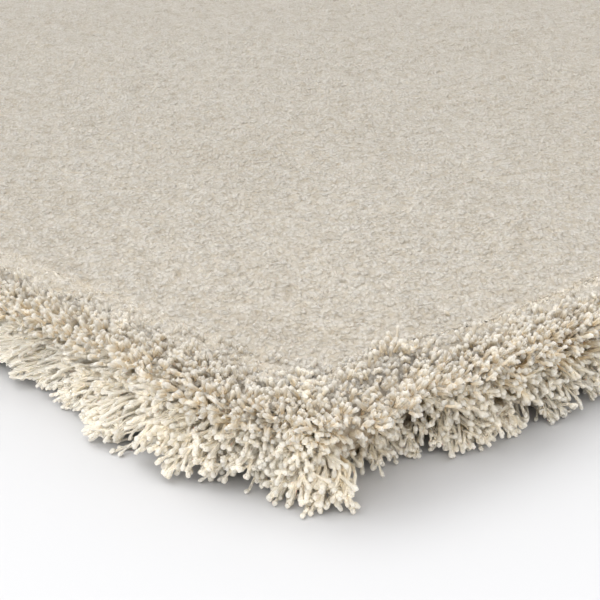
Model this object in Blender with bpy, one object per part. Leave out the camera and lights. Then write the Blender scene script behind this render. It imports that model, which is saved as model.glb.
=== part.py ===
"""Shag rug with a deep cut pile, lying flat.

A thin woven ground cloth lies on the floor and carries the pile. The pile is a lumpy slab whose
sides roll down to the floor, with locks of yarn standing out all round its rim: a lower tier
that rests on the floor, and an upper tier that hangs between them.

Metres, +Z up. X runs along the rug and Y across it. The origin is on the floor, under the
middle of the rug.
"""

import math
import random

import bmesh
import bpy
from mathutils import Matrix, Vector, noise

# The whole rug, from lock tip to lock tip
RUG_LENGTH = 1.70
RUG_WIDTH = 1.20
CORNER_RADIUS = 0.060

# Ground cloth, whose edge lies well inside the rim of the pile
CLOTH_INSET = 0.044
CLOTH_THICKNESS = 0.003
CLOTH_CORNER = 0.012
CLOTH_CORNER_STEPS = 4
GAP = 0.0003

# Rings up the side of the pile: inset from the tip outline, height, share of a rim hollow,
# and how far its lumps stand out and up
SIDE_RINGS = (
    (0.036, CLOTH_THICKNESS + GAP, 0.20, 0.0012, 0.0),
    (0.027, 0.0165, 0.50, 0.0030, 0.0),
    (0.028, 0.0325, 0.60, 0.0045, 0.0016),
    (0.037, 0.0420, 0.70, 0.0045, 0.0024),
)
FIELD_RING = (0.050, 0.0448, 0.70)
SIDE_LUMP_SIZE = 0.028

# Lumps in the top of the pile: size, height
TOP_LUMPS = (
    (0.260, 0.0022),
    (0.085, 0.0032),
)

# Columns of faces along each side; every second face of a tier grows a lock
COLUMNS = (82, 58)
COLUMN_JITTER = 0.14

# Stations of a lock: share of its reach, share of its root's width, share of that at its top
LOCK_STATIONS = (
    (0.36, 0.94, 0.80),
    (0.72, 0.78, 0.75),
    (1.00, 0.42, 0.70),
)
# Tiers of locks: least and most reach, then underside and top at each station
LOWER_TIER = {"reach": (0.021, 0.036), "heights": ((0.0, 0.0125), (0.0, 0.0100), (0.0, 0.0060))}
UPPER_TIER = {
    "reach": (0.014, 0.029),
    "heights": ((0.0165, 0.0295), (0.0122, 0.0232), (0.0080, 0.0150)),
}
LOCK_SWAY = 0.0055
LOCK_DROOP = 0.0018

# Where the rim draws in beside the +X, -Y corner: side, distance from the corner, width, depth
RIM_HOLLOWS = (
    ("front", 0.030, 0.030, 0.015),
    ("right", 0.085, 0.045, 0.018),
)

IVORY = (0.60, 0.55, 0.46, 1.0)
OATMEAL = (0.42, 0.35, 0.26, 1.0)


def clear_scene():
    for old in list(bpy.data.objects):
        bpy.data.objects.remove(old, do_unlink=True)


def yarn_material(name, colour, roughness):
    material = bpy.data.materials.new(name)
    material.use_nodes = True
    shader = material.node_tree.nodes["Principled BSDF"]
    shader.inputs["Base Color"].default_value = colour
    shader.inputs["Roughness"].default_value = roughness
    shader.inputs["Metallic"].default_value = 0.0
    material.diffuse_color = colour
    return material


def add_object(name, bm, material):
    mesh = bpy.data.meshes.new(name)
    bm.to_mesh(mesh)
    bm.free()
    mesh.materials.append(material)
    made = bpy.data.objects.new(name, mesh)
    bpy.context.scene.collection.objects.link(made)
    return made


def outline_point(side, share):
    """A point on the tip outline and its outward normal.

    Sides are numbered anticlockwise from the front, and each runs from the middle of one
    rounded corner to the middle of the next.
    """
    length, depth = (RUG_LENGTH, RUG_WIDTH) if side % 2 == 0 else (RUG_WIDTH, RUG_LENGTH)
    straight = length / 2 - CORNER_RADIUS
    travelled = (2 * share - 1) * (straight + CORNER_RADIUS * math.pi / 4)
    turn = math.copysign(max(abs(travelled) - straight, 0.0) / CORNER_RADIUS, travelled)
    centre = Vector((max(-straight, min(travelled, straight)), CORNER_RADIUS - depth / 2, 0.0))
    normal = Vector((math.sin(turn), -math.cos(turn), 0.0))
    facing = Matrix.Rotation(side * math.pi / 2, 3, "Z")
    return facing @ (centre + normal * CORNER_RADIUS), facing @ normal


def rim_columns(rng):
    """The columns round the rug, unevenly spaced: tip outline point, normal, rim hollow."""
    columns = []
    for side in range(4):
        count = COLUMNS[side % 2]
        for step in range(count):
            shift = rng.uniform(-COLUMN_JITTER, COLUMN_JITTER) if step else 0.0
            point, normal = outline_point(side, (step + shift) / count)
            columns.append((point, normal, hollow_depth(point, normal)))
    return columns


def hollow_depth(point, normal):
    """How far the rim draws in at a point of the tip outline."""
    depth = 0.0
    for side, place, width, deepest in RIM_HOLLOWS:
        if side == "front":
            from_corner, facing = RUG_LENGTH / 2 - point.x, -normal.y
        else:
            from_corner, facing = RUG_WIDTH / 2 + point.y, normal.x
        if facing > 0.0:
            depth += deepest * facing * math.exp(-(((from_corner - place) / width) ** 2))
    return depth


def on_column(column, inset, height, hollow_share):
    """The point of a column at an inset from the tip outline, never outside it."""
    point, normal, hollow = column
    inward = max(inset + hollow * hollow_share, 0.0)
    return Vector((point.x, point.y, height)) - normal * inward


def lump(point, size):
    """Smooth noise from -1 to 1, for lumps of about the size given."""
    return noise.noise(point / size)


def add_rings(bm, columns):
    """The rings of points up the side of the pile, from the foot to the crest."""
    rings = []
    for inset, height, share, out, up in SIDE_RINGS:
        ring = []
        for column in columns:
            swell = lump(Vector((column[0].x, column[0].y, height)), SIDE_LUMP_SIZE)
            place = on_column(column, inset - out * swell, height + up * swell, share)
            ring.append(bm.verts.new(place))
        rings.append(ring)
    return rings


def top_height(x, y):
    place = Vector((x, y, 0.0))
    return FIELD_RING[1] + sum(rise * lump(place, size) for size, rise in TOP_LUMPS)


def add_field(bm, columns, crest):
    """The top of the pile: a lumpy grid, joined to every second point of the crest."""
    inset, height, share = FIELD_RING
    rim = [on_column(columns[place], inset, height, share) for place in range(0, len(columns), 2)]
    across, deep = COLUMNS[0] // 2, COLUMNS[1] // 2
    front = rim[: across + 1]
    right = rim[across : across + deep + 1]
    back = rim[across + deep : 2 * across + deep + 1][::-1]
    left = (rim[2 * across + deep :] + rim[:1])[::-1]
    grid = []
    for row in range(deep + 1):
        grid.append([])
        for col in range(across + 1):
            s, t = col / across, row / deep
            edges = (front[col] * (1 - t) + back[col] * t) + (left[row] * (1 - s) + right[row] * s)
            low = front[0] * (1 - s) + front[-1] * s
            high = back[0] * (1 - s) + back[-1] * s
            place = edges - (low * (1 - t) + high * t)
            grid[row].append(bm.verts.new((place.x, place.y, top_height(place.x, place.y))))
    for row in range(deep):
        for col in range(across):
            bm.faces.new(
                (grid[row][col], grid[row][col + 1], grid[row + 1][col + 1], grid[row + 1][col])
            )
    border = grid[0][:-1] + [row[-1] for row in grid[:-1]]
    border += grid[-1][:0:-1] + [row[0] for row in grid[:0:-1]]
    for place, inner in enumerate(border):
        after = border[(place + 1) % len(border)]
        first, middle = crest[2 * place], crest[2 * place + 1]
        last = crest[(2 * place + 2) % len(crest)]
        bm.faces.new((first, middle, inner))
        bm.faces.new((middle, after, inner))
        bm.faces.new((middle, last, after))


def grow_lock(bm, root, pair, root_ring, tier, rng):
    """One lock, drawn out of a face of the side in three steps between its two columns."""
    reach = rng.uniform(*tier["reach"])
    sway = rng.uniform(-LOCK_SWAY, LOCK_SWAY)
    droop = rng.uniform(-LOCK_DROOP, LOCK_DROOP)
    tangent = (pair[1][0] - pair[0][0]).normalized()
    face = root
    for station, (under, top) in zip(LOCK_STATIONS, tier["heights"]):
        out, wide, top_share = station
        inset = root_ring[0] - reach * out
        share = root_ring[2] + (1 - root_ring[2]) * out
        side_by_side = [on_column(column, inset, 0.0, share) for column in pair]
        middle = (side_by_side[0] + side_by_side[1]) / 2 + tangent * sway * out**2
        half = (side_by_side[1] - side_by_side[0]) / 2 * wide
        shift = droop * out if under > 0.0 else 0.0
        low, high = Vector((0.0, 0.0, under + shift)), Vector((0.0, 0.0, top + shift))
        face = bmesh.ops.extrude_discrete_faces(bm, faces=[face])["faces"][0]
        corners = (
            middle - half + low,
            middle + half + low,
            middle + half * top_share + high,
            middle - half * top_share + high,
        )
        for vert, corner in zip(face.verts, corners):
            vert.co = corner


def add_sides_and_locks(bm, columns, rings, rng):
    """The side of the pile, with a lock on every second face of the two lower tiers."""
    count = len(columns)
    roots = []
    for tier, (lower, upper) in enumerate(zip(rings, rings[1:])):
        for place in range(count):
            after = (place + 1) % count
            face = bm.faces.new((lower[place], lower[after], upper[after], upper[place]))
            if tier < 2 and place % 2 == tier:
                roots.append((face, (columns[place], columns[after]), tier))
    for face, pair, tier in roots:
        root_ring = [(a + b) / 2 for a, b in zip(SIDE_RINGS[tier], SIDE_RINGS[tier + 1])]
        grow_lock(bm, face, pair, root_ring, (LOWER_TIER, UPPER_TIER)[tier], rng)


def make_pile():
    rng = random.Random(11)
    bm = bmesh.new()
    columns = rim_columns(rng)
    rings = add_rings(bm, columns)
    bm.faces.new(rings[0][::-1])
    add_field(bm, columns, rings[-1])
    add_sides_and_locks(bm, columns, rings, rng)
    pile = add_object("shag_pile", bm, yarn_material("pile_yarn", IVORY, 0.80))
    pile.data.shade_smooth()
    return pile


def make_ground_cloth():
    """The woven cloth that the tufts are rooted in: a flat plate with rounded corners."""
    bm = bmesh.new()
    half_x = RUG_LENGTH / 2 - CLOTH_INSET
    half_y = RUG_WIDTH / 2 - CLOTH_INSET
    corners = ((-half_x, -half_y), (half_x, -half_y), (half_x, half_y), (-half_x, half_y))
    plate = bm.faces.new([bm.verts.new((x, y, 0.0)) for x, y in corners])
    raised = bmesh.ops.extrude_face_region(bm, geom=[plate])["geom"]
    top = [item for item in raised if isinstance(item, bmesh.types.BMVert)]
    bmesh.ops.translate(bm, verts=top, vec=(0.0, 0.0, CLOTH_THICKNESS))
    uprights = [e for e in bm.edges if abs(e.verts[0].co.z - e.verts[1].co.z) > CLOTH_THICKNESS / 2]
    bmesh.ops.bevel(
        bm,
        geom=uprights,
        offset=CLOTH_CORNER,
        offset_type="OFFSET",
        segments=CLOTH_CORNER_STEPS,
        profile=0.5,
        affect="EDGES",
    )
    bmesh.ops.recalc_face_normals(bm, faces=bm.faces[:])
    return add_object("ground_cloth", bm, yarn_material("ground_weave", OATMEAL, 0.90))


clear_scene()
make_ground_cloth()
make_pile()
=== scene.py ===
import math

import bpy
import numpy as np
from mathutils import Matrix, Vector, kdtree, noise


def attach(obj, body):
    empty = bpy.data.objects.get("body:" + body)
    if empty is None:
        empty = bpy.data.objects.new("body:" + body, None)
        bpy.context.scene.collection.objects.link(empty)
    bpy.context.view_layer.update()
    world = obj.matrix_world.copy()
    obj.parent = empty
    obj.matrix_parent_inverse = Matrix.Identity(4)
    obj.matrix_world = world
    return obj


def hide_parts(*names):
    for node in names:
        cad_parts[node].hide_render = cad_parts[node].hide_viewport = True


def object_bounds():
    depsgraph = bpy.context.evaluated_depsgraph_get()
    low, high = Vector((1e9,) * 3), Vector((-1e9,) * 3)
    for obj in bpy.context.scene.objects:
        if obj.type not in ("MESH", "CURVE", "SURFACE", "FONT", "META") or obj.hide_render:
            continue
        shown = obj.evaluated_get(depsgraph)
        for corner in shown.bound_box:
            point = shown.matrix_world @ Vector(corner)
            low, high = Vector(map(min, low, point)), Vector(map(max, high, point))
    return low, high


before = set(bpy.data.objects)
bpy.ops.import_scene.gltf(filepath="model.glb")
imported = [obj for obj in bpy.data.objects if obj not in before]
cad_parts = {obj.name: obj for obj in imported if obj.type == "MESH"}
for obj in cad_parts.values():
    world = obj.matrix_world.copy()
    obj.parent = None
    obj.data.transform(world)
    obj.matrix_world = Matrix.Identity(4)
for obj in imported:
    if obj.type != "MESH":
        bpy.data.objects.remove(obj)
cad_box = [list(corner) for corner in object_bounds()]
scene = bpy.context.scene

# ---------------------------------------------------------------------------------------------
# The view and the room. The camera stands off one corner of the rug, low down, and looks
# diagonally across it. A broad soft light stands high on the left, past the rug, and a broader,
# lower one on the left of the camera. The floor is a plain white sheet in a pale surround.

CAMERA_HEIGHT = 0.288
CAMERA_OUT_X = 0.358
CAMERA_OUT_Y = 0.341
CAMERA_HEADING = 46.8
CAMERA_PITCH = 20.1
CAMERA_LENS = 82.8
LIGHTS = (
    {"name": "soft_light", "from": 181.0, "height": 60.0, "spread": 44.0, "strength": 1.22},
    {"name": "fill_light", "from": 262.0, "height": 30.0, "spread": 120.0, "strength": 1.0},
)
SURROUND = (1.0, 1.0, 1.0, 1.0)
SURROUND_STRENGTH = 0.83
FLOOR_HALF = 9.0
FLOOR_WHITE = (0.73, 0.73, 0.74, 1.0)

camera_data = bpy.data.cameras.new("camera")
camera_data.lens = CAMERA_LENS
camera_data.sensor_width = 36.0
camera_data.clip_start = 0.02
camera_data.clip_end = 60.0
camera = bpy.data.objects.new("camera", camera_data)
scene.collection.objects.link(camera)
camera.location = (cad_box[1][0] + CAMERA_OUT_X, cad_box[0][1] - CAMERA_OUT_Y, CAMERA_HEIGHT)
camera.rotation_euler = (math.radians(90.0 - CAMERA_PITCH), 0.0, math.radians(CAMERA_HEADING))
scene.camera = camera

for lamp in LIGHTS:
    light_data = bpy.data.lights.new(lamp["name"], "SUN")
    light_data.energy = lamp["strength"]
    light_data.angle = math.radians(lamp["spread"])
    light = bpy.data.objects.new(lamp["name"], light_data)
    scene.collection.objects.link(light)
    turn = math.radians(lamp["from"] + 90.0)
    light.rotation_euler = (math.radians(90.0 - lamp["height"]), 0.0, turn)

world = bpy.data.worlds.new("surround")
world.use_nodes = True
world.node_tree.nodes["Background"].inputs["Color"].default_value = SURROUND
world.node_tree.nodes["Background"].inputs["Strength"].default_value = SURROUND_STRENGTH
scene.world = world
scene.view_settings.view_transform = "Standard"


class Wire:
    """A socket in a node tree. Arithmetic on it adds the Math nodes that it needs."""

    def __init__(self, tree, socket=None):
        self.tree = tree
        self.socket = socket

    def node(self, kind, settings, values, out=0):
        """A new node of a type, with its settings, its sockets' values or links, and its output."""
        made = self.tree.nodes.new(kind)
        for name, value in settings.items():
            if name == "stops":
                ramp = made.color_ramp.elements
                while len(ramp) < len(value):
                    ramp.new(0.5)
                for element, (place, colour) in zip(ramp, value):
                    element.position = place
                    element.color = colour
            else:
                setattr(made, name, value)
        for key, value in values.items():
            if isinstance(value, Wire):
                self.tree.links.new(value.socket, made.inputs[key])
            else:
                made.inputs[key].default_value = value
        return Wire(self.tree, made.outputs[out])

    def math(self, operation, first, second=0.0):
        return self.node("ShaderNodeMath", {"operation": operation}, {0: first, 1: second})

    def __add__(self, other):
        return self.math("ADD", self, other)

    __radd__ = __add__

    def __sub__(self, other):
        return self.math("SUBTRACT", self, other)

    def __rsub__(self, other):
        return self.math("SUBTRACT", other, self)

    def __mul__(self, other):
        return self.math("MULTIPLY", self, other)

    __rmul__ = __mul__

    def __truediv__(self, other):
        return self.math("DIVIDE", self, other)

    def __pow__(self, other):
        return self.math("POWER", self, other)

    def at_least(self, other):
        return self.math("MAXIMUM", self, other)

    def at_most(self, other):
        return self.math("MINIMUM", self, other)

    def smooth(self, low, high):
        """0 below low, 1 above high and a smooth step between."""
        return self.node(
            "ShaderNodeMapRange",
            {"interpolation_type": "SMOOTHSTEP"},
            {"Value": self, "From Min": low, "From Max": high},
        )

    def mix(self, first, second):
        """A colour that goes from the first to the second as this wire goes from 0 to 1."""
        return self.node(
            "ShaderNodeMix", {"data_type": "RGBA"}, {"Factor": self, 6: first, 7: second}, 2
        )

    def noise_at(self, place, scale, detail=2.0, out="Fac"):
        """Noise at a place, with finer layers on it where the detail is higher."""
        values = {"Vector": place, "Scale": scale, "Detail": detail}
        return self.node("ShaderNodeTexNoise", {}, values, out)

    def from_cell(self, place, scale):
        """Distance of a place from the middle of the nearest of many scattered cells."""
        values = {"Vector": place, "Scale": scale}
        return self.node("ShaderNodeTexVoronoi", {"feature": "F1"}, values, "Distance")

    def relief(self, distance, strength):
        """Bumps with this wire's value as their height."""
        values = {"Height": self, "Distance": distance, "Strength": strength}
        return self.node("ShaderNodeBump", {}, values)

    def into(self, socket):
        """Links the wire to a socket of another node."""
        self.tree.links.new(self.socket, socket)


def new_material(name, roughness):
    """A material and a wire for its tree, with its Principled shader."""
    material = bpy.data.materials.new(name)
    material.use_nodes = True
    shader = material.node_tree.nodes["Principled BSDF"]
    shader.inputs["Roughness"].default_value = roughness
    return material, Wire(material.node_tree), shader


floor_mesh = bpy.data.meshes.new("floor")
floor_mesh.from_pydata(
    [(x * FLOOR_HALF, y * FLOOR_HALF, 0.0) for x, y in ((-1, -1), (1, -1), (1, 1), (-1, 1))],
    [],
    [(0, 1, 2, 3)],
)
floor_finish, _, floor_shader = new_material("white_floor", 0.6)
floor_shader.inputs["Base Color"].default_value = FLOOR_WHITE
floor_mesh.materials.append(floor_finish)
floor = bpy.data.objects.new("floor", floor_mesh)
scene.collection.objects.link(floor)

# ---------------------------------------------------------------------------------------------
# Ground cloth: the woven cloth that the tufts are rooted in. A plain flat weave of stout oatmeal
# yarn, cut to a rectangle, which lies on the floor wholly under the pile.

CLOTH_INSET = 0.044
CLOTH_THICK = 0.0022
CLOTH_LIFT = 0.0004
CLOTH_GRID = (40, 28)
CLOTH_RIPPLE = 0.0003
RIPPLES_A_METRE = 40.0
WEAVE_PITCH = 0.0028
WAVE_SPAN = 0.31  # width of one band of the wave texture at a scale of 1
WEAVE_BANDS = {"Scale": WAVE_SPAN / WEAVE_PITCH, "Distortion": 0.6, "Detail": 1.0}
SLUB_SCALE = 260.0
THREAD_SHARE = 0.7
SLUB_SHARE = 0.45
WEAVE_RELIEF = 0.0008
OATMEAL = (0.50, 0.42, 0.31, 1.0)
OATMEAL_DEEP = (0.30, 0.24, 0.17, 1.0)

half_x = cad_box[1][0]
half_y = cad_box[1][1]


def mesh_object(name, points, faces, material):
    """A new object at the origin from rows of points and of faces."""
    mesh = bpy.data.meshes.new(name)
    mesh.from_pydata([tuple(p) for p in points], [], [tuple(f) for f in faces])
    mesh.materials.append(material)
    made = bpy.data.objects.new(name, mesh)
    scene.collection.objects.link(made)
    return made


def closed_slab(xs, ys, top, bottom):
    """Points and outward faces of a slab over a grid, with heights from two functions."""
    wide, deep = len(xs), len(ys)
    plan = np.array([(x, y) for y in ys for x in xs])
    upper = np.column_stack([plan, [top(x, y) for x, y in plan]])
    lower = np.column_stack([plan, [bottom(x, y) for x, y in plan]])
    under = wide * deep
    faces = []
    for row in range(deep - 1):
        for col in range(wide - 1):
            a = row * wide + col
            faces.append((a, a + 1, a + wide + 1, a + wide))
            faces.append((under + a + wide, under + a + wide + 1, under + a + 1, under + a))
    edge = list(range(wide - 1))
    edge += [row * wide + wide - 1 for row in range(deep - 1)]
    edge += [under - 1 - col for col in range(wide - 1)]
    edge += [(deep - 1 - row) * wide for row in range(deep - 1)]
    for place, a in enumerate(edge):
        b = edge[(place + 1) % len(edge)]
        faces.append((under + a, under + b, b, a))
    return np.vstack([upper, lower]), faces


def weave_finish():
    """Oatmeal cloth: warp over weft, with slubs along the yarn."""
    material, tree, shader = new_material("oatmeal_weave", 0.92)
    place = tree.node("ShaderNodeTexCoord", {}, {}, "Object")
    warp, weft = (
        tree.node(
            "ShaderNodeTexWave",
            {"wave_type": "BANDS", "bands_direction": direction},
            {"Vector": place, **WEAVE_BANDS},
            "Fac",
        )
        for direction in ("X", "Y")
    )
    thread = warp * weft * THREAD_SHARE + tree.noise_at(place, SLUB_SCALE) * SLUB_SHARE
    thread.mix(OATMEAL_DEEP, OATMEAL).into(shader.inputs["Base Color"])
    thread.relief(WEAVE_RELIEF, 0.8).into(shader.inputs["Normal"])
    return material


def cloth_underside(x, y):
    """Height of the underside of the cloth, which ripples a little over the floor."""
    spot = (x * RIPPLES_A_METRE, y * RIPPLES_A_METRE, 0.0)
    return CLOTH_LIFT + CLOTH_RIPPLE * noise.noise(spot)


cloth_xs = np.linspace(-half_x + CLOTH_INSET, half_x - CLOTH_INSET, CLOTH_GRID[0])
cloth_ys = np.linspace(-half_y + CLOTH_INSET, half_y - CLOTH_INSET, CLOTH_GRID[1])
cloth_points, cloth_faces = closed_slab(
    cloth_xs, cloth_ys, lambda x, y: CLOTH_LIFT + CLOTH_THICK, cloth_underside
)
ground = mesh_object("ground_cloth_weave", cloth_points, cloth_faces, weave_finish())
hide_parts("ground_cloth")
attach(ground, "root")

# ---------------------------------------------------------------------------------------------
# Packed pile: the mass of yarn ends packed close on the ground cloth. It is one lumpy body, whose
# own grain is the top of the rug. Its sides lie back under the strands of the rim, darkened
# with painted warm shade.

# The tip outline, which the rim reaches, and how far the rim draws in or stands out from it.
# travel is the distance round it from the near corner, negative along the front.
TIP_CORNER = 0.060
LEAST_CORNER = 0.006
CORNER_ARC = TIP_CORNER * math.pi / 2
DIAGONAL_BLEND = 0.03
DIAGONAL_LIMIT = 6.0
RIM_HOLLOWS = (
    {"side": "front", "place": 0.030, "width": 0.030, "deepest": 0.015},
    {"side": "right", "place": 0.085, "width": 0.045, "deepest": 0.018},
)
RIM_TRIM = {
    "travel": (-0.24, -0.19, -0.14, -0.11, -0.085, -0.055, -0.030, -0.014)
    + (0.004, 0.018, 0.032, 0.060, 0.090, 0.130, 0.165),
    "out": (-0.004, -0.007, -0.005, -0.002, 0.001, -0.002, -0.013, -0.009)
    + (0.006, 0.006, -0.001, 0.003, -0.005, 0.006, 0.0),
}

# Lumps of the top, as rows of size and rise, and the heights at which the noise is cut
PILE_LUMPS = ((0.260, 0.0020), (0.085, 0.0022), (0.030, 0.0012))
CORE_TUFTS = ((0.018, 0.0008), (0.0070, 0.0005))
PILE_SLICE = 3.0
TUFT_SLICE = 9.0

# The top: its heights, and the cells of its grid, which crowd towards the near corner
CREST_CORE = 0.0414
CREST_BLEND = (0.020, 0.045)
CORE_LEVEL = 0.0432
CORE_CELLS = (358, 252)
CORE_CROWDING = 9.0
CROWDING_CURVE = 4
CROWDING_SAMPLES = 400

# The side, from the foot up: insets from the tip outline, near the view and far from it
CORE_SIDE = (
    {"level": 0.00, "near": 0.036, "far": 0.037},
    {"level": 0.22, "near": 0.027, "far": 0.030},
    {"level": 0.45, "near": 0.023, "far": 0.026},
    {"level": 0.68, "near": 0.0215, "far": 0.025},
    {"level": 0.87, "near": 0.023, "far": 0.027},
    {"level": 1.00, "near": 0.029, "far": 0.033},
)
CORE_FOOT = 0.0032
CORE_HOLLOW = 0.5
CORE_TRIM = 0.4

# How far into the view the finer work reaches
NEAR_REACH = (0.26, 0.50)
VIEW_HALF = 0.150
VIEW_GROWTH = 0.205
OUT_OF_VIEW = 2.5

# Grain of the grid, as shares of a cell up and aside
GRAIN_SEED = 3
GRAIN_STRAY = 1.8
GRAIN_SHARE = 0.26
GRAIN_MOST = 0.0013
GRAIN_ASIDE = 0.16
GRAIN_FADE = (0.10, 0.45)
GRAIN_GAIN = 0.9

# Colours and grain of the material, and where the painted warm shade shows. The colours are
# darker than the rim's yarn partly as painted shade, and the darker one stands for darker grain
# and for painted shade in the gaps between the ends
PAINTED_WARM_SHADE = (0.68, 0.55, 0.38, 1.0)
PACKED_PALE = (0.62, 0.585, 0.53, 1.0)
PACKED_SHADE = (0.45, 0.395, 0.315, 1.0)
PAINTED_SHADE_INSETS = (0.022, 0.036)
PAINTED_SHADE_DEPTHS = (0.15, 0.36)
PAINTED_SHADE_HEIGHTS = (0.018, 0.034)
CREST_PAINTED_SHADE = 0.6
# Ends of the top: their heights give the bumps, and the same heights paint shade into the gaps
PACKED_ENDS_AND_GAP_SHADE = {"scale": 400.0, "from": 0.25, "to": 0.75, "tint": 0.5}
PACKED_GRAINS = (
    {"scale": 520.0, "detail": 3.0, "tint": 0.6, "relief": 0.35},
    {"scale": 150.0, "detail": 1.5, "tint": 1.4, "relief": 3.0},
    {"scale": 9.0, "detail": 2.0, "tint": 0.3, "relief": 0.0},
)
PACKED_DARKER = 0.80
PACKED_RELIEF = 0.0013
PACKED_GLOW = 0.75
GLOW_RADIUS = (1.0, 0.92, 0.80)
GLOW_DEPTH = 0.0035
YARN_GLOSS = 0.25


def read_off(table, where):
    """Values of a table's second column, for places in its first."""
    return np.interp(where, *table.values())


def outline(travel, inset):
    """Points, at an inset from the tip outline, and outward normals.

    travel runs anticlockwise round the tip outline from the middle of the corner at +X, -Y.
    """
    straight_x = 2 * (half_x - TIP_CORNER)
    straight_y = 2 * (half_y - TIP_CORNER)
    half_turn = (CORNER_ARC, straight_x, CORNER_ARC, straight_y)
    runs = (CORNER_ARC / 2, straight_y, *half_turn, CORNER_ARC, straight_x, CORNER_ARC / 2)
    knots = np.concatenate([[0.0], np.cumsum(runs)])
    travel = np.mod(travel, knots[-1])
    turn = np.interp(travel, knots, np.radians((-45, 0, 0, 90, 90, 180, 180, 270, 270, 315)))
    side_x = np.interp(travel, knots, (1, 1, 1, 1, -1, -1, -1, -1, 1, 1))
    side_y = np.interp(travel, knots, (-1, -1, 1, 1, 1, 1, -1, -1, -1, -1))
    radius = np.maximum(TIP_CORNER - inset, LEAST_CORNER)
    x = side_x * (half_x - inset - radius) + np.cos(turn) * radius
    y = side_y * (half_y - inset - radius) + np.sin(turn) * radius
    flat = np.zeros(len(travel))
    return np.column_stack([x, y, flat]), np.column_stack([np.cos(turn), np.sin(turn), flat])


def from_corner(travel):
    """Distance round the outline from the near corner, negative along the front."""
    half_round = 2 * (half_x + half_y - 2 * TIP_CORNER) + 2 * CORNER_ARC
    return (travel + half_round) % (2 * half_round) - half_round


def hollow(point, normal):
    """How far the rim draws in beside the near corner, for points of the tip outline."""
    depth = np.zeros(len(point))
    for row in RIM_HOLLOWS:
        at_front = row["side"] == "front"
        distance = half_x - point[:, 0] if at_front else half_y + point[:, 1]
        facing = -normal[:, 1] if at_front else normal[:, 0]
        bay = row["deepest"] * np.exp(-(((distance - row["place"]) / row["width"]) ** 2))
        depth += bay * np.clip(facing, 0.0, 1.0)
    return depth


def view_depth(x, y):
    """How far a point of the rug lies from the near corner, counting more outside the view."""
    heading = math.radians(CAMERA_HEADING)
    u, v = y + half_y, half_x - x
    deep = u * math.cos(heading) + v * math.sin(heading)
    aside = np.abs(v * math.cos(heading) - u * math.sin(heading))
    return deep + OUT_OF_VIEW * np.clip(aside - VIEW_HALF - VIEW_GROWTH * deep, 0.0, None)


def smooth_step(value, low, high):
    """0 below low, 1 above high and a smooth step between, for an array."""
    share = np.clip((value - low) / (high - low), 0.0, 1.0)
    return share * share * (3 - 2 * share)


def rim_frame(x, y):
    """How far points lie inside the tip outline, and the outward direction there."""
    past_x = np.abs(x) - (half_x - TIP_CORNER)
    past_y = np.abs(y) - (half_y - TIP_CORNER)
    beyond = np.hypot(np.clip(past_x, 0.0, None), np.clip(past_y, 0.0, None))
    inset = TIP_CORNER - beyond - np.clip(np.maximum(past_x, past_y), None, 0.0)
    lead = np.clip((past_x - past_y) / DIAGONAL_BLEND, -DIAGONAL_LIMIT, DIAGONAL_LIMIT)
    share_x = 1.0 / (1.0 + np.exp(-lead))
    out_x = np.sign(x) * np.sqrt(share_x)
    out_y = np.sign(y) * np.sqrt(1.0 - share_x)
    return inset, np.column_stack([out_x, out_y, np.zeros(len(x))])


def lumps(x, y, layers, cut):
    """Smooth lumps, from rows of size and rise, at each point of two arrays."""
    rise = np.zeros(len(x))
    for size, up in layers:
        rise += [up * noise.noise((a / size, b / size, cut)) for a, b in zip(x, y)]
    return rise


def core_level(x, y):
    """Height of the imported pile: lower under the strands of the crest, and full height inside."""
    inset, _ = rim_frame(x, y)
    level = CREST_CORE + (CORE_LEVEL - CREST_CORE) * smooth_step(inset, *CREST_BLEND)
    return level + lumps(x, y, PILE_LUMPS, PILE_SLICE) + lumps(x, y, CORE_TUFTS, TUFT_SLICE)


def crowded(count, towards_end):
    """count + 1 shares from 0 to 1, closer together towards one end."""
    share = np.linspace(0.0, 1.0, CROWDING_SAMPLES)
    gather = share if towards_end else 1.0 - share
    density = 1.0 + CORE_CROWDING * gather[1:] ** CROWDING_CURVE
    total = np.concatenate([[0.0], np.cumsum(density)])
    return np.interp(np.linspace(0.0, total[-1], count + 1), total, share)


def side_travel(shares_x, shares_y):
    """Distances round the outline of the border of a grid, from the corner at +X, -Y."""
    length_x = 2 * (half_x - TIP_CORNER) + CORNER_ARC
    length_y = 2 * (half_y - TIP_CORNER) + CORNER_ARC
    right = shares_y[:-1] * length_y
    back = length_y + (1.0 - shares_x[:0:-1]) * length_x
    left = length_y + length_x + (1.0 - shares_y[:0:-1]) * length_y
    front = 2 * length_y + length_x + shares_x[:-1] * length_x
    return np.concatenate([right, back, left, front])


def pile_rings(travel):
    """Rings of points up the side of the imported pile, from the foot to the crest."""
    tip_point, tip_normal = outline(travel, np.zeros(len(travel)))
    afar = smooth_step(view_depth(tip_point[:, 0], tip_point[:, 1]), *NEAR_REACH)
    trim = read_off(RIM_TRIM, from_corner(travel))
    drawn_in = hollow(tip_point, tip_normal) * CORE_HOLLOW
    drawn_in -= trim * np.where(trim > 0.0, CORE_TRIM, 1.0)
    rings = []
    for row in CORE_SIDE:
        inset = row["near"] + (row["far"] - row["near"]) * afar + drawn_in
        ring, _ = outline(travel, inset)
        top = core_level(ring[:, 0], ring[:, 1])
        ring[:, 2] = CORE_FOOT + (top - CORE_FOOT) * row["level"]
        rings.append(ring)
    return rings


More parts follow.
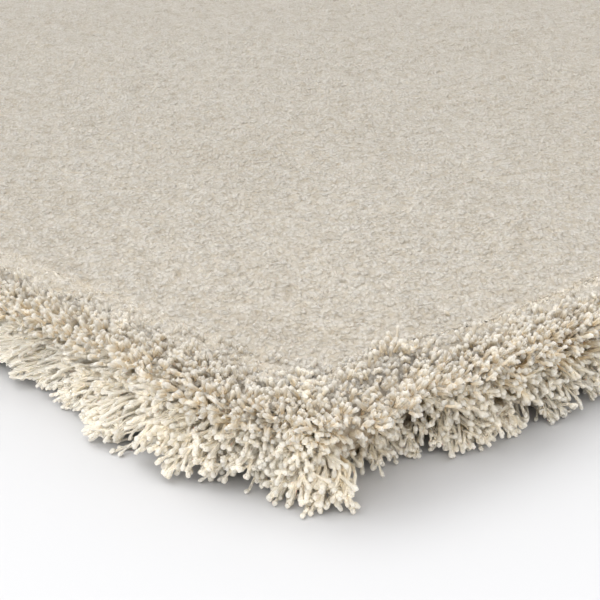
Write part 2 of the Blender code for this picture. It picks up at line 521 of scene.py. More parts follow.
def pile_top(border, shares_x, shares_y):
    """A grid of points within a border that runs anticlockwise from the corner at +X, -Y."""
    cols, rows = len(shares_x) - 1, len(shares_y) - 1
    right = border[: rows + 1]
    back = border[rows : rows + cols + 1][::-1]
    left = border[rows + cols : 2 * rows + cols + 1][::-1]
    front = np.vstack([border[2 * rows + cols :], border[:1]])
    s = shares_x[None, :, None]
    t = shares_y[:, None, None]
    grid = front[None] * (1 - t) + back[None] * t + left[:, None] * (1 - s) + right[:, None] * s
    grid -= (front[0] * (1 - s) + front[-1] * s) * (1 - t) + (back[0] * (1 - s) + back[-1] * s) * t
    grid = grid.reshape(-1, 3)
    grid[:, 2] = core_level(grid[:, 0], grid[:, 1])
    return grid


def grained(grid, shares_x, shares_y):
    """The grid's points, with all but its border moved at random by shares of a cell."""
    cell_x = np.tile(np.gradient(shares_x) * 2 * half_x, len(shares_y))
    cell_y = np.repeat(np.gradient(shares_y) * 2 * half_y, len(shares_x))
    stray = np.random.default_rng(GRAIN_SEED).normal(0.0, 1.0, (len(grid), 3))
    stray = np.clip(stray, -GRAIN_STRAY, GRAIN_STRAY)
    inner = np.zeros((len(shares_y), len(shares_x)))
    inner[1:-1, 1:-1] = 1.0
    close_by = 1.0 - smooth_step(view_depth(grid[:, 0], grid[:, 1]), *GRAIN_FADE)
    rough = np.minimum(np.minimum(cell_x, cell_y) * GRAIN_SHARE, GRAIN_MOST)
    rough *= 1.0 + GRAIN_GAIN * close_by
    shift = np.column_stack([cell_x * GRAIN_ASIDE, cell_y * GRAIN_ASIDE, rough])
    return grid + stray * shift * inner.reshape(-1, 1)


def pile_faces(cols, rows, rings):
    """Faces of the top, the side and the foot, for the grid's points and then the rings'."""
    wide = cols + 1
    faces = []
    for row in range(rows):
        for col in range(cols):
            a = row * wide + col
            faces.append((a, a + 1, a + wide + 1, a + wide))
    border = [row * wide + cols for row in range(rows)]
    border += [rows * wide + col for col in range(cols, 0, -1)]
    border += [row * wide for row in range(rows, 0, -1)]
    border += list(range(cols))
    around = len(border)
    levels = [border]
    for ring in range(rings):
        start = wide * (rows + 1) + ring * around
        levels.append(list(range(start, start + around)))
    for upper, lower in zip(levels, levels[1:]):
        for place in range(around):
            after = (place + 1) % around
            faces.append((lower[place], lower[after], upper[after], upper[place]))
    faces.append(levels[-1][::-1])
    return faces


def glowing(shader, weight):
    """Light that enters one side of the yarn and leaves by another, as in loose fibre."""
    shader.subsurface_method = "BURLEY"
    shader.inputs["Subsurface Weight"].default_value = weight
    shader.inputs["Subsurface Radius"].default_value = GLOW_RADIUS
    shader.inputs["Subsurface Scale"].default_value = GLOW_DEPTH
    shader.inputs["Specular IOR Level"].default_value = YARN_GLOSS


def packed_finish():
    """Packed yarn ends: pale tips with painted shade in the gaps, and painted warm shade low down.
    """
    material, tree, shader = new_material("packed_pile", 0.75)
    shader.inputs["Diffuse Roughness"].default_value = 1.0
    glowing(shader, PACKED_GLOW)
    place = tree.node("ShaderNodeTexCoord", {}, {}, "Object")
    gaps = tree.from_cell(place, PACKED_ENDS_AND_GAP_SHADE["scale"])
    # The ends stand up as bumps, and their gaps are darkened with painted shade
    height = 1.0 - gaps.smooth(PACKED_ENDS_AND_GAP_SHADE["from"], PACKED_ENDS_AND_GAP_SHADE["to"])
    shade = height * PACKED_ENDS_AND_GAP_SHADE["tint"]
    for row in PACKED_GRAINS:
        grain = tree.noise_at(place, row["scale"], row["detail"])
        shade = shade + grain * row["tint"]
        height = height + grain * row["relief"]
    shade = shade - PACKED_DARKER
    # Painted warm shade, low on the side and a little under the crest near the view
    cover = tree.node("ShaderNodeAttribute", {"attribute_name": "cover"}, {}, "Fac")
    colour = cover.mix(shade.mix(PACKED_SHADE, PACKED_PALE), PAINTED_WARM_SHADE)
    colour.into(shader.inputs["Base Color"])
    height.relief(PACKED_RELIEF, 1.0).into(shader.inputs["Normal"])
    return material


def painted_shade_share(points):
    """How far the painted warm shade shows at points: low on the side, and a little under the crest
    near the view.
    """
    inset, _ = rim_frame(points[:, 0], points[:, 1])
    under_crest = 1.0 - smooth_step(inset, *PAINTED_SHADE_INSETS)
    under_crest *= 1.0 - smooth_step(view_depth(points[:, 0], points[:, 1]), *PAINTED_SHADE_DEPTHS)
    low_down = 1.0 - smooth_step(points[:, 2], *PAINTED_SHADE_HEIGHTS)
    return np.maximum(low_down, CREST_PAINTED_SHADE * under_crest).astype(np.float32)


shares_x = crowded(CORE_CELLS[0], True)
shares_y = crowded(CORE_CELLS[1], False)
rings = pile_rings(side_travel(shares_x, shares_y))
top = grained(pile_top(rings[-1], shares_x, shares_y), shares_x, shares_y)
core_points = np.vstack([top] + rings[-2::-1])
core_faces = pile_faces(*CORE_CELLS, len(rings) - 1)
core = mesh_object("packed_pile", core_points, core_faces, packed_finish())
core.data.shade_smooth()
# How far the painted warm shade shows at each point
cover = core.data.attributes.new("cover", "FLOAT", "POINT")
cover.data.foreach_set("value", painted_shade_share(core_points))
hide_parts("shag_pile")
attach(core, "root")

# ---------------------------------------------------------------------------------------------
# Rim strands: heat-set twisted yarn, each with a round swollen cut tip. At the edge the tufts
# have nothing to lean on, so they stand out of the ground cloth over the floor in loose locks.
# They are closest and finest beside the corner that the photograph is taken at.

# How the strands lie, from the floor up: insets of their roots and tips from the tip outline,
# height of the tips, bend in degrees and droop
RIM_LIE = (
    {"level": 0.0, "root": 0.042, "tip": 0.001, "height": 0.003, "bend": 20.0, "droop": 0.001},
    {"level": 0.2, "root": 0.044, "tip": 0.002, "height": 0.008, "bend": 40.0, "droop": 0.009},
    {"level": 0.4, "root": 0.045, "tip": 0.004, "height": 0.020, "bend": 26.0, "droop": 0.009},
    {"level": 0.6, "root": 0.045, "tip": 0.008, "height": 0.0315, "bend": 14.0, "droop": 0.005},
    {"level": 0.8, "root": 0.044, "tip": 0.015, "height": 0.0395, "bend": 8.0, "droop": 0.001},
    {"level": 1.0, "root": 0.043, "tip": 0.026, "height": 0.0440, "bend": 4.0, "droop": 0.000},
)
RIM_DEPTH = 0.058
ROOT_HEIGHT = 0.0040
HOLLOW_AT_ROOT = 0.35
HOLLOW_ALONG = 0.65
TRIM_SHARE = 0.5
CORNER_FAN = 0.080
FAN_STEPS = 7

# One yarn: its radii, its kinks and knots, its hooked end and its round tip
YARN_RADIUS = 0.00095
TIP_RADIUS = 0.00150
STRANDS_APART = 310.0  # how fast the noise changes from strand to strand
KINK = 0.008
KINKS_A_METRE = 85.0
KNOTS = 1.2
KNOTS_A_METRE = 420.0
HOOK_LENGTH = 0.012
BULB_MIDDLE = 0.0016
BULB_HALF = 0.0020
BULB_MOST = 0.8
SHAFT_SHARE = 0.9
HEADING_STEP = 0.0010
FLOOR_GAP = 0.0002
FLOOR_SHARE = 1.02
BAKE_COLUMNS = {"inside": 0.68, "shade": 0.12, "around": 0.04}
BAKE_MARGIN = 0.03
BAKE_SPAN = 0.94

# What changes round the rim: how far the strands turn aside in degrees, hang and spread, how
# wild they are, how swollen, how deep their painted warm shade starts, and how much painted
# light pales them along the front
RIM_SWING = {
    "travel": (-1.00, -0.40, -0.13, -0.05, -0.03, 0.03, 0.10, 0.17, 0.40, 0.60),
    "turn": (0.0, -28.0, -28.0, 0.0, 0.0, -36.0, -36.0, -16.0, -16.0, 0.0),
}
RIM_HANG = {
    "travel": (-1.00, -0.40, -0.12, -0.05, 0.03, 0.07, 0.40, 1.00),
    "share": (1.0, 0.2, 0.2, 1.0, 1.0, 0.6, 0.6, 1.0),
}
RIM_SPREAD = {"travel": (-1.00, -0.40, -0.10, -0.05), "share": (0.0, 1.0, 1.0, 0.0)}
RIM_WILD = {
    "travel": (-1.00, -0.40, -0.14, -0.03, 0.20, 0.40),
    "share": (0.75, 0.5, 0.5, 1.0, 1.0, 0.75),
}
RIM_SWELL = {
    "travel": (-1.00, -0.36, -0.16, -0.06, 0.16, 0.30),
    "share": (0.9, 0.76, 0.76, 1.0, 1.0, 0.9),
}
RIM_SHADE_DEPTH = {
    "travel": (-1.00, -0.36, -0.16, -0.03, 0.16, 0.36),
    "depth": (0.016, 0.038, 0.026, 0.0085, 0.0085, 0.016),
}
FRONT_PAINTED_LIGHT = {"travel": (-1.00, -0.36, -0.18, -0.04), "shade": (0.0, 0.35, 0.35, 0.0)}

# What changes from the floor up
LOW_SPREAD = {"level": (0.0, 0.2, 0.4, 0.6), "out": (0.012, 0.010, 0.004, 0.0)}
LEVEL_WILD = {"level": (0.0, 0.35, 0.7, 1.0), "share": (0.8, 1.0, 1.2, 0.75)}
LEVEL_SHADE_DEPTH = {"level": (0.0, 0.3, 0.6), "share": (3.6, 3.2, 1.0)}
LEVEL_HIDDEN = {"level": (0.0, 0.3, 1.0), "share": (0.36, 0.50, 0.76)}

# Locks, and how far they and their strands stray, with sway and lift in degrees
LOCK_PITCH = 0.018
LOCK_STEP = 0.0150
LOCK_PULL = 0.35
LEVEL_RELEASE = 0.8
LENGTHWAYS_LOSS = 0.75
LOCK_JITTER = 0.3
LOCK_ROW_JITTER = 0.2
STRAND_ROW_JITTER = 0.1
LOCK_VARIETY = {"level": 0.06, "short": 0.90, "long": 1.08, "sway": 14.0, "lift": 6.5}
STRAND_VARIETY = {"level": 0.02, "short": 0.90, "long": 1.04, "sway": 17.0, "lift": 8.0}
STRAND_HOOK = 0.0080
LIFT_LIMITS = (-22.0, 12.0)
STRAY_LIMIT = 1.7
JITTER = 0.42
RIM_GIRTH = (0.88, 1.12)
SEED = 7

# Stretches of the rim, with the distance between strands and how finely each is cut
ROUND_CUT = {"stations": 9, "sides": 4, "bulb_share": 0.5, "bulb_length": 0.0042}
SLIM_CUT = {"stations": 7, "sides": 3, "bulb_share": 0.5, "bulb_length": 0.0042}
PLAIN_CUT = {"stations": 4, "sides": 3, "bulb_share": 0.67, "bulb_length": 0.0030}
FINE_STEP = 0.0026
LEAST_COARSE = 0.94
COARSE_CURVE = 0.75
RIM_RUNS = (
    {"name": "rim_corner", "low": -0.05, "high": 0.05, "step": 0.0018, "cut": ROUND_CUT},
    {"name": "rim_beside_right", "low": 0.05, "high": 0.165, "step": 0.0021, "cut": ROUND_CUT},
    {"name": "rim_beside_front", "low": -0.165, "high": -0.05, "step": 0.0021, "cut": ROUND_CUT},
    {"name": "rim_near_right", "low": 0.165, "high": 0.36, "step": 0.0026, "cut": SLIM_CUT},
    {"name": "rim_near_front", "low": -0.36, "high": -0.165, "step": 0.0026, "cut": SLIM_CUT},
    {"name": "rim_right_back", "low": 0.36, "high": 2.90, "step": 0.0048, "cut": PLAIN_CUT},
    {"name": "rim_left_front", "low": 2.90, "high": 5.34, "step": 0.0048, "cut": PLAIN_CUT},
)

# Colours of the yarn from its depths to its tip, at the rim and on the top. The tip colours are
# the yarn's own, the warm dark colours down the yarn are painted shade between the strands, and
# the top's colours are duller partly as the yarn's tone and partly as painted shade
YARN_TINTS_AND_DEPTH_SHADE = (
    (0.00, (0.52, 0.375, 0.205, 1.0)),
    (0.25, (0.70, 0.575, 0.39, 1.0)),
    (0.48, (0.79, 0.715, 0.575, 1.0)),
    (0.70, (0.84, 0.79, 0.69, 1.0)),
    (1.00, (0.86, 0.83, 0.765, 1.0)),
)
NAP_TINTS_AND_DEPTH_SHADE = (
    (0.00, (0.45, 0.33, 0.19, 1.0)),
    (0.34, (0.595, 0.52, 0.405, 1.0)),
    (0.68, (0.645, 0.605, 0.54, 1.0)),
)
CREST_NAP_TONE_AND_SHADE = 0.85
CREST_NAP_LEVELS = (0.45, 1.0)
FAR_NAP_TONE_AND_SHADE = 0.5
FAR_NAP_TRAVEL = (0.22, 0.5)
OWN_SHADE = 0.6
LOCK_SHADE = 0.4
YARN_GRAIN = {"fibre": 560.0, "knot": 430.0}
YARN_LIGHT = {"along": 0.8, "shade": 0.2, "fibre": 0.4}
YARN_RELIEF = 0.0008
YARN_GLOW = 0.9


def yarn_tree():
    """Grows a yarn from each point of a mesh, from the lie that the point's attributes give."""
    tree = bpy.data.node_groups.new("grow_yarn", "GeometryNodeTree")
    tree.interface.new_socket("Geometry", in_out="INPUT", socket_type="NodeSocketGeometry")
    for name, kind in (
        ("Stations", "NodeSocketInt"),
        ("Sides", "NodeSocketInt"),
        ("Yarn radius", "NodeSocketFloat"),
        ("Tip radius", "NodeSocketFloat"),
        ("Bulb length", "NodeSocketFloat"),
        ("Bulb share", "NodeSocketFloat"),
        ("Hook length", "NodeSocketFloat"),
        ("Kink", "NodeSocketFloat"),
        ("Knots", "NodeSocketFloat"),
        ("Finish", "NodeSocketMaterial"),
    ):
        tree.interface.new_socket(name, in_out="INPUT", socket_type=kind)
    tree.interface.new_socket("Geometry", in_out="OUTPUT", socket_type="NodeSocketGeometry")
    yarn = Wire(tree)

    def given(name):
        return yarn.node("NodeGroupInput", {}, {}, name)

    def lie(name, kind="FLOAT"):
        return yarn.node(
            "GeometryNodeInputNamedAttribute", {"data_type": kind}, {"Name": name}, "Attribute"
        )

    def vector(operation, first, second, out="Vector"):
        slot = 3 if operation == "SCALE" else 1
        return yarn.node(
            "ShaderNodeVectorMath", {"operation": operation}, {0: first, slot: second}, out
        )

    def upright(height):
        return yarn.node("ShaderNodeCombineXYZ", {}, {"Z": height})

    def stored(geometry, name, value, **settings):
        values = {0: geometry, "Name": name, "Value": value}
        return yarn.node("GeometryNodeStoreNamedAttribute", settings, values)

    # A straight line at each root, whose points are then given a distance from the tip
    line = yarn.node("GeometryNodeCurvePrimitiveLine", {}, {})
    line = yarn.node("GeometryNodeResampleCurve", {}, {0: line, "Count": given("Stations")})
    strands = yarn.node(
        "GeometryNodeInstanceOnPoints", {}, {"Points": given("Geometry"), "Instance": line}
    )
    strands = yarn.node("GeometryNodeRealizeInstances", {}, {0: strands})
    share = yarn.node("GeometryNodeSplineParameter", {}, {}, "Factor")
    hidden = lie("hidden")
    reach = lie("reach")
    girth = lie("girth")
    showing = reach * (1.0 - hidden)
    bulb = (given("Bulb length") * girth).at_most(showing * BULB_MOST)
    below = 1.0 - share
    in_bulb = (below / given("Bulb share")).at_most(1.0)
    in_shaft = (below - given("Bulb share")) / (1.0 - given("Bulb share"))
    rest = in_bulb * bulb + in_shaft.at_least(0.0) * (showing - bulb)
    # The distance is stored, because the share along a line changes when its points move
    strands = stored(strands, "rest", rest)
    rest = lie("rest")
    root = lie("root", "FLOAT_VECTOR")
    strand_place = vector("SCALE", root, STRANDS_APART)

    def passing(rest):
        """Where the yarn passes at a distance from its tip."""
        travel = 1.0 - rest / reach
        angle = lie("tilt") + lie("bend") * travel * travel * 0.5
        far = reach * travel
        out = vector("SCALE", lie("lean", "FLOAT_VECTOR"), far * angle.math("SINE", angle))
        rise = upright(far * angle.math("COSINE", angle))
        kink = vector("ADD", strand_place, upright(far * KINKS_A_METRE))
        kink = yarn.noise_at(kink, 1.0, out="Color")
        kink = vector("SUBTRACT", kink, (0.5, 0.5, 0.5))
        kink = vector("SCALE", kink, given("Kink") * travel)
        pull = vector("SCALE", lie("pull", "FLOAT_VECTOR"), travel * travel)
        hooked = (1.0 - rest / given("Hook length")).at_least(0.0)
        hook = vector("SCALE", lie("hook", "FLOAT_VECTOR"), hooked**2.0)
        place = vector("ADD", vector("ADD", root, out), vector("ADD", rise, kink))
        return vector("ADD", place, vector("ADD", pull, hook))

    # From its foot the bulb goes straight on, so that it stays round
    bulb_foot = rest.at_least(bulb)
    place = passing(bulb_foot)
    heading = vector("SUBTRACT", place, passing(bulb_foot + HEADING_STEP))
    heading = vector("NORMALIZE", heading, (0.0, 0.0, 0.0))
    place = vector("ADD", place, vector("SCALE", heading, bulb_foot - rest))
    # Radius: a knotty shaft with a ball at its tip
    up = upright((reach - rest) * KNOTS_A_METRE)
    knots = yarn.noise_at(vector("ADD", strand_place, up), 1.0)
    from_middle = (rest / girth - BULB_MIDDLE) / BULB_HALF
    ball = (1.0 - from_middle * from_middle).at_least(0.0) ** 0.5
    shaft = given("Yarn radius") * (1.0 + given("Knots") * (knots - 0.5))
    tip = given("Tip radius") * lie("swell") * ball * (1.0 + 0.5 * given("Knots") * (knots - 0.5))
    radius = girth * (shaft * SHAFT_SHARE).at_least(tip)
    # The floor holds up what would sink into it
    place_x, place_y, place_z = (
        yarn.node("ShaderNodeSeparateXYZ", {}, {0: place}, axis) for axis in ("X", "Y", "Z")
    )
    lifted = place_z.at_least(radius * FLOOR_SHARE + FLOOR_GAP)
    place = yarn.node("ShaderNodeCombineXYZ", {}, {"X": place_x, "Y": place_y, "Z": lifted})
    strands = yarn.node("GeometryNodeSetPosition", {}, {0: strands, "Position": place})
    # along: from the painted warm shade of the depths to the pale tip, over the depth given by tint
    strands = stored(strands, "along", 1.0 - rest / lie("tint"))
    # The skin, and the place of each corner of it on a sheet that the finish can be baked to
    section = yarn.node(
        "GeometryNodeCurvePrimitiveCircle", {}, {"Resolution": given("Sides"), "Radius": 1.0}
    )
    around = yarn.node("GeometryNodeSplineParameter", {}, {}, "Factor")
    section = stored(section, "around", around)
    skin = yarn.node(
        "GeometryNodeCurveToMesh",
        {},
        {"Curve": strands, "Profile Curve": section, "Scale": radius, "Fill Caps": True},
    )
    column = sum(lie(name) * share for name, share in BAKE_COLUMNS.items()) + BAKE_MARGIN
    along = lie("along").at_least(0.0) * BAKE_SPAN + BAKE_MARGIN
    spot = yarn.node("ShaderNodeCombineXYZ", {}, {"X": column, "Y": along})
    skin = stored(skin, "OFBake", spot, data_type="FLOAT2", domain="CORNER")
    skin = yarn.node("GeometryNodeRealizeInstances", {}, {0: skin})
    skin = yarn.node("GeometryNodeSetMaterial", {}, {0: skin, "Material": given("Finish")})
    skin.into(tree.nodes.new("NodeGroupOutput").inputs[0])
    return tree


def yarn_finish():
    """Ivory yarn: pale tips, painted warm shade towards the roots, each strand a shade apart."""
    material, tree, shader = new_material("ivory_yarn", 0.6)
    along = tree.node("ShaderNodeAttribute", {"attribute_name": "along"}, {}, "Fac")
    shade = tree.node("ShaderNodeAttribute", {"attribute_name": "shade"}, {}, "Fac")
    place = tree.node("ShaderNodeTexCoord", {}, {}, "Object")
    fibre = tree.noise_at(place, YARN_GRAIN["fibre"])
    knot = tree.from_cell(place, YARN_GRAIN["knot"])
    # Paleness: painted warm shade down the yarn, each strand's shade, painted light, fibre grain
    light = along * YARN_LIGHT["along"] + (shade - 0.5) * YARN_LIGHT["shade"]
    light = light + (fibre - 0.5) * YARN_LIGHT["fibre"]
    at_rim = tree.node("ShaderNodeValToRGB", {"stops": YARN_TINTS_AND_DEPTH_SHADE}, {"Fac": light})
    on_top = tree.node("ShaderNodeValToRGB", {"stops": NAP_TINTS_AND_DEPTH_SHADE}, {"Fac": light})
    # The top's duller colours, partly painted shade, for the crest and the far rim
    inside = tree.node("ShaderNodeAttribute", {"attribute_name": "inside"}, {}, "Fac")
    inside.mix(at_rim, on_top).into(shader.inputs["Base Color"])
    (fibre - knot).relief(YARN_RELIEF, 0.8).into(shader.inputs["Normal"])
    shader.inputs["Diffuse Roughness"].default_value = 1.0
    glowing(shader, YARN_GLOW)
    shader.inputs["Sheen Weight"].default_value = 0.2
    shader.inputs["Sheen Roughness"].default_value = 0.6
    shader.inputs["Sheen Tint"].default_value = YARN_TINTS_AND_DEPTH_SHADE[-1][1]
    return material


YARN_TREE = yarn_tree()
YARN_FINISH = yarn_finish()


def grow(name, strands, stations, sides, bulb_share, bulb_length):
    """Grows one piece of joined yarns from a table of roots and their lie."""
    count = len(strands["root"])
    mesh = bpy.data.meshes.new(name)
    mesh.vertices.add(count)
    mesh.vertices.foreach_set("co", strands["root"].astype(np.float32).ravel())
    for key, values in strands.items():
        flat = values.ndim == 1
        kind = "FLOAT" if flat else "FLOAT_VECTOR"
        data = mesh.attributes.new(key, kind, "POINT").data
        data.foreach_set("value" if flat else "vector", values.astype(np.float32).ravel())
    made = bpy.data.objects.new(name, mesh)
    scene.collection.objects.link(made)
    modifier = made.modifiers.new("grow", "NODES")
    modifier.node_group = YARN_TREE
    wanted = {
        "Stations": stations,
        "Sides": sides,
        "Yarn radius": YARN_RADIUS,
        "Tip radius": TIP_RADIUS,
        "Bulb length": bulb_length,
        "Bulb share": bulb_share,
        "Hook length": HOOK_LENGTH,
        "Kink": KINK,
        "Knots": KNOTS,
        "Finish": YARN_FINISH,
    }
    for item in YARN_TREE.interface.items_tree:
        if item.name in wanted:
            modifier[item.identifier] = wanted[item.name]
    shape = made.evaluated_get(bpy.context.evaluated_depsgraph_get())
    made.data = bpy.data.meshes.new_from_object(shape)
    made.modifiers.clear()
    bpy.data.meshes.remove(mesh)
    made.data.shade_smooth()
    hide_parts("shag_pile")
    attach(made, "root")
    return made


def jittered(low, high, step, rng, amount=JITTER):
    """Places over a range, about a step apart and each moved a little at random."""
    count = max(int(round((high - low) / step)), 1)
    return low + (np.arange(count) + 0.5 + rng.uniform(-amount, amount, count)) * step


def strewn(rng, shape):
    """Numbers spread about 0 like chance errors, without the farthest strays."""
    return np.clip(rng.normal(0.0, 1.0, shape), -STRAY_LIMIT, STRAY_LIMIT)


def shades(rng, of_lock):
    """Shades of strands from 0 to 1, each partly its own and partly its lock's."""
    return OWN_SHADE * rng.uniform(0.0, 1.0, len(of_lock)) + LOCK_SHADE * of_lock


def turned(direction, degrees):
    """Level directions turned about the vertical."""
    turn = np.radians(degrees)
    cos, sin = np.cos(turn), np.sin(turn)
    x, y = direction[:, 0], direction[:, 1]
    return np.column_stack([x * cos - y * sin, x * sin + y * cos, np.zeros(len(x))])


def fanned(travel):
    """The way tufts lean out, which turns round a corner over more than the corner's own arc."""
    shifts = np.linspace(-CORNER_FAN, CORNER_FAN, FAN_STEPS)
    lean = sum(outline(travel + shift, np.zeros(len(travel)))[1] for shift in shifts)
    return lean / np.linalg.norm(lean, axis=1)[:, None]


def rim_tips(travel, level, length, sway, lift):
    """Roots, directions, angles, droops and tips of rim yarns, at distances round and levels."""
    ranks = [row["level"] for row in RIM_LIE]
    root_inset, tip_inset, height, bend, droop = (
        np.interp(level, ranks, [row[key] for row in RIM_LIE])
        for key in ("root", "tip", "height", "bend", "droop")
    )
    around = from_corner(travel)
    droop *= read_off(RIM_HANG, around)
    point, normal = outline(travel, np.zeros(len(travel)))
    drawn = hollow(point, normal)
    trim = read_off(RIM_TRIM, around)
    root, _ = outline(travel, root_inset + HOLLOW_AT_ROOT * drawn - TRIM_SHARE * trim)
    root[:, 2] = ROOT_HEIGHT
    out = root_inset - tip_inset - HOLLOW_ALONG * drawn + TRIM_SHARE * trim
    out += read_off(LOW_SPREAD, level) * read_off(RIM_SPREAD, around)
    up = height + droop - ROOT_HEIGHT
    lie = np.arctan2(out, up) + np.radians(lift)
    length = np.hypot(out, up) * length
    lean = turned(fanned(travel), sway + read_off(RIM_SWING, around))
    tip = root + lean * (length * np.sin(lie))[:, None]
    tip[:, 2] += length * np.cos(lie)
    bend = np.radians(bend)
    return root, lean, lie - bend / 2, bend, length, droop, tip


def gathered(tip, lean, end, lock_tip, share):
    """Pull of each strand sideways towards its lock, and a little of it lengthways."""
    apart = lock_tip - tip
    heading = lean * np.sin(end)[:, None]
    heading[:, 2] += np.cos(end)
    lengthways = (apart * heading).sum(axis=1)[:, None] * heading
    return (apart - LENGTHWAYS_LOSS * lengthways) * share


def nearest(points, centres):
    """The number of the centre nearest to each point, both as rows of two numbers."""
    tree = kdtree.KDTree(len(centres))
    for number, (a, b) in enumerate(centres):
        tree.insert((a, b, 0.0), number)
    tree.balance()
    return np.array([tree.find((a, b, 0.0))[1] for a, b in points])


def rim_locks(low, high, rng):
    """The locks of a stretch of the rim: their places, lie and shades, and where their tips are."""
    travel, level = [], []
    rows = jittered(0.0, 1.0, LOCK_STEP / RIM_DEPTH, rng, LOCK_ROW_JITTER)
    for rank, row in enumerate(rows):
        places = jittered(low - LOCK_PITCH, high + LOCK_PITCH, LOCK_PITCH, rng, LOCK_JITTER)
        travel.append(places + LOCK_PITCH * 0.5 * (rank % 2))
        stray = rng.uniform(-LOCK_VARIETY["level"], LOCK_VARIETY["level"], len(places))
        level.append(row + stray)
    travel, level = np.concatenate(travel), np.concatenate(level)
    wild = read_off(RIM_WILD, from_corner(travel))
    length = rng.uniform(LOCK_VARIETY["short"], LOCK_VARIETY["long"], len(travel))
    sway = LOCK_VARIETY["sway"] * wild * strewn(rng, len(travel))
    lift = LOCK_VARIETY["lift"] * wild * strewn(rng, len(travel))
    return {
        "place": np.column_stack([travel, level * RIM_DEPTH]),
        "length": length,
        "sway": sway,
        "lift": lift,
        "shade": rng.uniform(0.0, 1.0, len(travel)),
        "tip": rim_tips(travel, level, length, sway, lift)[-1],
    }


def lay_rim(low, high, spacing, coarse, seed):
    """A table of rim yarns between two distances round the outline, gathered into locks."""
    rng = np.random.default_rng(seed)
    locks = rim_locks(low, high, rng)
    travel, level = [], []
    for row in jittered(0.0, 1.0, spacing / RIM_DEPTH, rng, STRAND_ROW_JITTER):
        places = jittered(low, high, spacing, rng)
        travel.append(places)
        stray = rng.normal(0.0, STRAND_VARIETY["level"], len(places))
        level.append(np.clip(row + stray, 0.0, 1.0))
    travel, level = np.concatenate(travel), np.concatenate(level)
    lock = nearest(np.column_stack([travel, level * RIM_DEPTH]), locks["place"])
    count = len(travel)
    around = from_corner(travel)
    wild = read_off(RIM_WILD, around) * read_off(LEVEL_WILD, level)
    sway = locks["sway"][lock] + STRAND_VARIETY["sway"] * wild * strewn(rng, count)
    lift = locks["lift"][lock] + STRAND_VARIETY["lift"] * wild * strewn(rng, count)
    length = rng.uniform(STRAND_VARIETY["short"], STRAND_VARIETY["long"], count)
    length *= locks["length"][lock]
    root, lean, tilt, bend, length, droop, tip = rim_tips(
        travel, level, length, sway, np.clip(lift, *LIFT_LIMITS)
    )
    hook = STRAND_HOOK * wild[:, None] * strewn(rng, (count, 3))
    hook[:, 2] -= droop
    pull = gathered(tip, lean, tilt + bend, locks["tip"][lock], LOCK_PULL)
    # Upper and far strands take the top's duller colours, partly painted shade
    crest_like = CREST_NAP_TONE_AND_SHADE * smooth_step(level, *CREST_NAP_LEVELS)
    far_like = FAR_NAP_TONE_AND_SHADE * smooth_step(np.abs(around), *FAR_NAP_TRAVEL)
    return {
        "root": root,
        "lean": lean,
        "tilt": tilt,
        "bend": bend,
        "reach": length,
        "pull": pull * (1.0 - LEVEL_RELEASE * level)[:, None],
        "hook": hook,
        "hidden": read_off(LEVEL_HIDDEN, level),
        # Each strand's own shade, paled along the front by painted light
        "shade": shades(rng, locks["shade"][lock]) + read_off(FRONT_PAINTED_LIGHT, around),
        "inside": np.maximum(crest_like, far_like),
        "tint": read_off(RIM_SHADE_DEPTH, around) * read_off(LEVEL_SHADE_DEPTH, level),
        "swell": read_off(RIM_SWELL, around),
        "girth": rng.uniform(*RIM_GIRTH, count) * coarse,
    }


for place, run in enumerate(RIM_RUNS):
    coarse = max(run["step"] / FINE_STEP, LEAST_COARSE) ** COARSE_CURVE
    strands = lay_rim(run["low"], run["high"], run["step"], coarse, SEED + place)
    grow(run["name"], strands, **run["cut"])

# ---------------------------------------------------------------------------------------------
# Crest strands: the same yarn just inside the rim, where only the tips stand out of the packed
# pile. They sink into it away from the edge, and are grown only where the photograph shows them.

# Where they grow: insets from the tip outline, which narrow with the depth into the view
FIELD_START = 0.019
NUB_NARROWING = {"depth": (0.05, 0.20), "end": (0.074, 0.037)}
FIELD_LOCK = 0.013
FIELD_RUNS = (
    {"name": "crest_corner", "from": 0.0, "to": 0.34, "step": 0.0025, "coarse": 1.0},
    {"name": "crest_near", "from": 0.34, "to": 0.62, "step": 0.0030, "coarse": 1.1},
)
CREST_SEED = 27

# How high they stand and how far they lean, and which way the top is brushed, in degrees
TIP_LEVEL = 0.0440
CREST_DIP = 0.0015
NUB_FADE = 0.024
NUB_SINK = 0.0018
RISE_STRAY = {"lock": 0.0003, "strand": 0.0005}
CREST_LEAN = 0.45
NAP_LEAN = 0.20
NAP_BLEND = (0.030, 0.080)
LEAN_STRAY = {"lock": 0.10, "strand": 0.24}
LEAST_LEAN = 0.05
MOST_LEAN = 0.56
NAP_SWINGS = ((0.30, 70.0), (0.09, 45.0))
NAP_SLICE = 21.0
NAP_TURN = 10.0

# The part of each that shows, and its colour: how deep its painted warm shade starts, and how
# much it takes of the top's duller colours, which are partly painted shade
CREST_TUFT = {"rim": 0.0050, "inside": 0.0036}
CREST_HOOK = 0.0036
CREST_CURL = {"rim": 1.4, "less_inside": 0.4}
CREST_GIRTH = (0.84, 1.09)
CREST_SHADE_DEPTH = 0.0058
LEAST_NAP_TONE_AND_SHADE = 0.75
NAP_SHADE_INSETS = (0.020, 0.036)


def nap(x, y):
    """The way the pile is brushed: along the rug, swinging from side to side."""
    swing = lumps(x, y, NAP_SWINGS, NAP_SLICE)
    along = np.column_stack([np.ones(len(x)), np.zeros(len(x)), np.zeros(len(x))])
    return turned(along, swing + NAP_TURN)


def field_lie(x, y, stray):
    """How far the tufts lean at points of the top, and which way, as level vectors."""
    inset, outward = rim_frame(x, y)
    blend = smooth_step(inset, *NAP_BLEND)[:, None]
    return outward * CREST_LEAN * (1.0 - blend) + nap(x, y) * NAP_LEAN * blend + stray


def nub_end(depth):
    """How far inside the tip outline the last strands of the crest stand."""
    return read_off(NUB_NARROWING, depth)


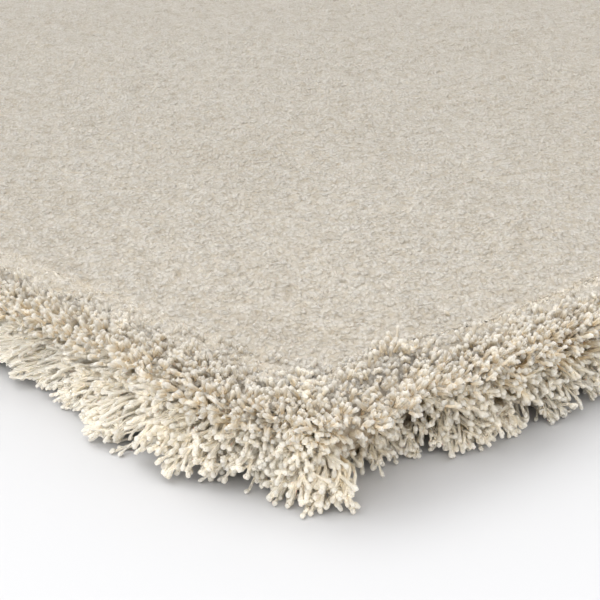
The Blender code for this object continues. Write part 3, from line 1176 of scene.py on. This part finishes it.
def lay_field(run, seed):
    """A table of crest yarns over a range of depths into the view, which stray in locks."""
    rng = np.random.default_rng(seed)

    def scatter(step):
        rows = []
        for y in np.arange(-half_y, half_y, step):
            xs = jittered(-half_x, half_x, step, rng)
            ys = y + step * rng.uniform(-JITTER, JITTER, len(xs))
            rows.append(np.column_stack([xs, ys]))
        return np.vstack(rows)

    def kept(spots, margin):
        depth = view_depth(spots[:, 0], spots[:, 1])
        inset, _ = rim_frame(spots[:, 0], spots[:, 1])
        inside = (depth >= run["from"] - margin) & (depth < run["to"] + margin)
        inside &= (inset > FIELD_START - margin) & (inset < nub_end(depth) + margin)
        return spots[inside]

    def stray(count, amount):
        return np.column_stack([rng.normal(0.0, amount, (count, 2)), np.zeros(count)])

    locks = kept(scatter(FIELD_LOCK), FIELD_LOCK)
    lock_stray = stray(len(locks), LEAN_STRAY["lock"])
    lock_rise = RISE_STRAY["lock"] * strewn(rng, len(locks))
    lock_shade = rng.uniform(0.0, 1.0, len(locks))
    spots = kept(scatter(run["step"]), 0.0)
    x, y = spots[:, 0], spots[:, 1]
    lock = nearest(spots, locks)
    count = len(spots)
    lean = field_lie(x, y, lock_stray[lock] + stray(count, LEAN_STRAY["strand"]))
    angle = np.clip(np.linalg.norm(lean, axis=1), LEAST_LEAN, MOST_LEAN)
    level = TIP_LEVEL - ROOT_HEIGHT + lumps(x, y, PILE_LUMPS, PILE_SLICE)
    level += lock_rise[lock] + RISE_STRAY["strand"] * strewn(rng, count)
    inset, _ = rim_frame(x, y)
    level -= NUB_SINK * smooth_step(inset, NUB_FADE, nub_end(view_depth(x, y)))
    inside = smooth_step(inset, *CREST_BLEND)
    reach = (level - CREST_DIP * (1.0 - inside)) / np.cos(angle)
    showing = CREST_TUFT["rim"] + (CREST_TUFT["inside"] - CREST_TUFT["rim"]) * inside
    curl = CREST_CURL["rim"] - CREST_CURL["less_inside"] * inside
    return {
        "root": np.column_stack([x, y, np.full(count, ROOT_HEIGHT)]),
        "lean": lean / np.linalg.norm(lean, axis=1)[:, None],
        "tilt": angle * 0.5,
        "bend": angle,
        "reach": reach,
        "pull": np.zeros((count, 3)),
        "hook": CREST_HOOK * strewn(rng, (count, 3)) * curl[:, None],
        "hidden": 1.0 - showing / reach,
        "shade": shades(rng, lock_shade[lock]),
        # The top's duller colours, partly painted shade, less of them next to the rim
        "inside": LEAST_NAP_TONE_AND_SHADE + (1.0 - LEAST_NAP_TONE_AND_SHADE) * smooth_step(inset, *NAP_SHADE_INSETS),
        "tint": np.full(count, CREST_SHADE_DEPTH),
        "swell": np.ones(count),
        "girth": rng.uniform(*CREST_GIRTH, count) * run["coarse"],
    }


for place, run in enumerate(FIELD_RUNS):
    grow(run["name"], lay_field(run, CREST_SEED + place), **PLAIN_CUT)
